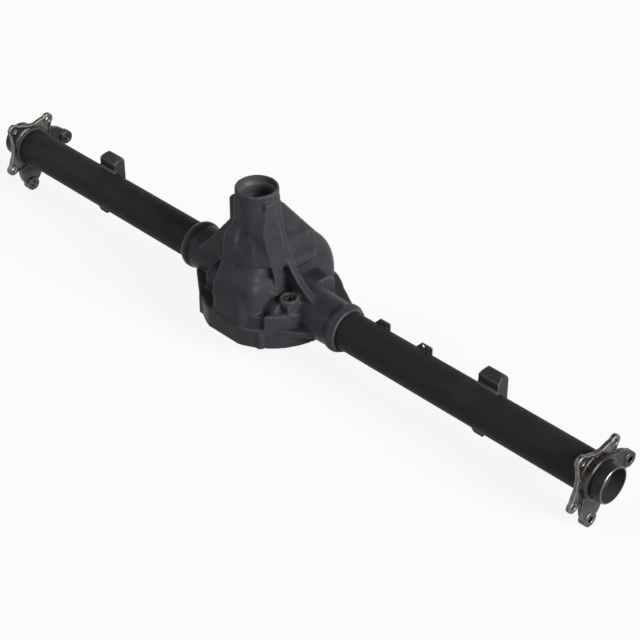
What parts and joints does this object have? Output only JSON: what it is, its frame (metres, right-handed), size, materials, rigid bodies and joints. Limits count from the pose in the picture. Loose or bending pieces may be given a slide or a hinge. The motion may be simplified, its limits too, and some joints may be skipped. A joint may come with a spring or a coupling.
{
  "type": "rear axle housing",
  "caption": "Rear axle housing: ribbed carrier casting with a tall pinion nose, pressed-in axle tubes, leaf spring seats, hose brackets and lobed brake flanges.",
  "frame": {"origin": "on the axle's centreline, where the middle plane of the carrier casting crosses it", "axes": "+X along the tubes to the right-hand end, +Y towards the springs, +Z along the pinion towards its nose"},
  "size_m": [1.62, 0.2685, 0.3436],
  "materials": {
    "casting": "matte dark paint over a cast skin",
    "tube_paint": "satin near-black paint",
    "bare_steel": "bare machined forging, slightly brown",
    "dark_steel": "satin dark grey",
    "bracket_paint": "satin dark paint on pressed sheet",
    "bolt_steel": "dark oiled steel"
  },
  "bodies": {
    "root": {"carrier_casting": "casting", "fill_plug": "bolt_steel", "left_bearing_cap": "casting", "right_bearing_cap": "casting", "left_cap_bolts": "bolt_steel", "right_cap_bolts": "bolt_steel", "left_tube": "tube_paint", "right_tube": "tube_paint", "plug_welds": "casting", "left_tube_end": "dark_steel", "right_tube_end": "dark_steel", "left_brake_flange": "bare_steel", "right_brake_flange": "bare_steel", "left_flange_weld": "bare_steel", "right_flange_weld": "bare_steel", "left_spring_seat": "bracket_paint", "right_spring_seat": "bracket_paint", "left_seat_welds": "bracket_paint", "right_seat_welds": "bracket_paint", "left_rear_tab": "bracket_paint", "right_rear_tab": "bracket_paint", "left_tab_welds": "bracket_paint", "right_tab_welds": "bracket_paint", "inner_hose_bracket": "bracket_paint", "outer_hose_bracket": "bracket_paint", "bracket_welds": "bracket_paint"}
  },
  "joints": []
}
